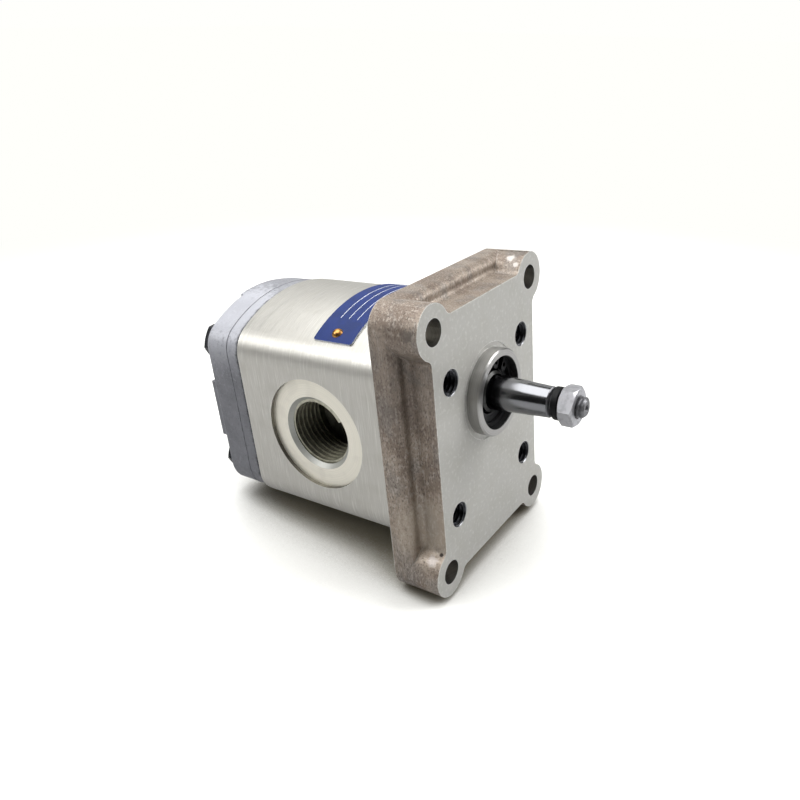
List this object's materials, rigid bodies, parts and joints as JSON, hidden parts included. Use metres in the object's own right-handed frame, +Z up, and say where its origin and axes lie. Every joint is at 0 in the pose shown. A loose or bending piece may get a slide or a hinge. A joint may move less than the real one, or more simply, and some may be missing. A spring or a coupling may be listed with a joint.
{
  "type": "hydraulic gear pump",
  "caption": "External hydraulic gear pump with a rectangular mounting flange, a threaded port in each side and a tapered drive shaft.",
  "frame": {"origin": "where the drive shaft's axis meets the machined mounting face", "axes": "+X out along the drive shaft, +Z up along the long side of the flange, the suction port opens towards -Y"},
  "size_m": [0.118, 0.067, 0.087],
  "materials": {
    "cast_flange": "as cast sides, machined face",
    "extruded_body": "satin",
    "die_cast_cover": "die cast",
    "bearing_alloy": "machined",
    "bronze_bush": "plain",
    "nitrile_rubber": "matt",
    "white_polyamide": "matt",
    "spring_steel": "plain",
    "black_spring_steel": "black oxide",
    "ground_steel": "ground",
    "black_bolt_steel": "black oxide",
    "blue_anodised_plate": "anodised",
    "brass_rivet": "plain",
    "zinc_steel": "zinc plated"
  },
  "bodies": {
    "housing": {"front_flange": "cast_flange", "pump_body": "extruded_body", "rear_cover": "die_cast_cover", "front_bearing_block": "bearing_alloy", "rear_bearing_block": "bearing_alloy", "drive_front_bush": "bronze_bush", "drive_rear_bush": "bronze_bush", "idler_front_bush": "bronze_bush", "idler_rear_bush": "bronze_bush", "front_pressure_seal": "nitrile_rubber", "rear_pressure_seal": "nitrile_rubber", "front_backup_strip": "white_polyamide", "rear_backup_strip": "white_polyamide", "front_body_seal": "nitrile_rubber", "rear_body_seal": "nitrile_rubber", "shaft_seal_case": "nitrile_rubber", "shaft_seal_lip": "nitrile_rubber", "shaft_seal_spring": "spring_steel", "retaining_ring": "black_spring_steel", "front_dowels": "ground_steel", "rear_dowels": "ground_steel", "body_bolts": "black_bolt_steel", "name_plate": "blue_anodised_plate", "name_plate_rivets": "brass_rivet"},
    "drive_shaft": {"drive_gear_shaft": "ground_steel", "woodruff_key": "spring_steel", "spring_washer": "black_spring_steel", "shaft_nut": "zinc_steel"},
    "idler_shaft": {"idler_gear_shaft": "ground_steel"}
  },
  "joints": [
    {"name": "drive_spin", "type": "hinge", "parent": "housing", "child": "drive_shaft", "pos_m": [0, 0, 0], "axis": [1, 0, 0], "continuous": true},
    {"name": "idler_spin", "type": "hinge", "parent": "housing", "child": "idler_shaft", "pos_m": [-0.0425, 0, -0.0196], "axis": [1, 0, 0], "continuous": true}
  ],
  "couplings": [
    {"joint": "idler_spin", "follows": "drive_spin", "ratio": -1}
  ]
}
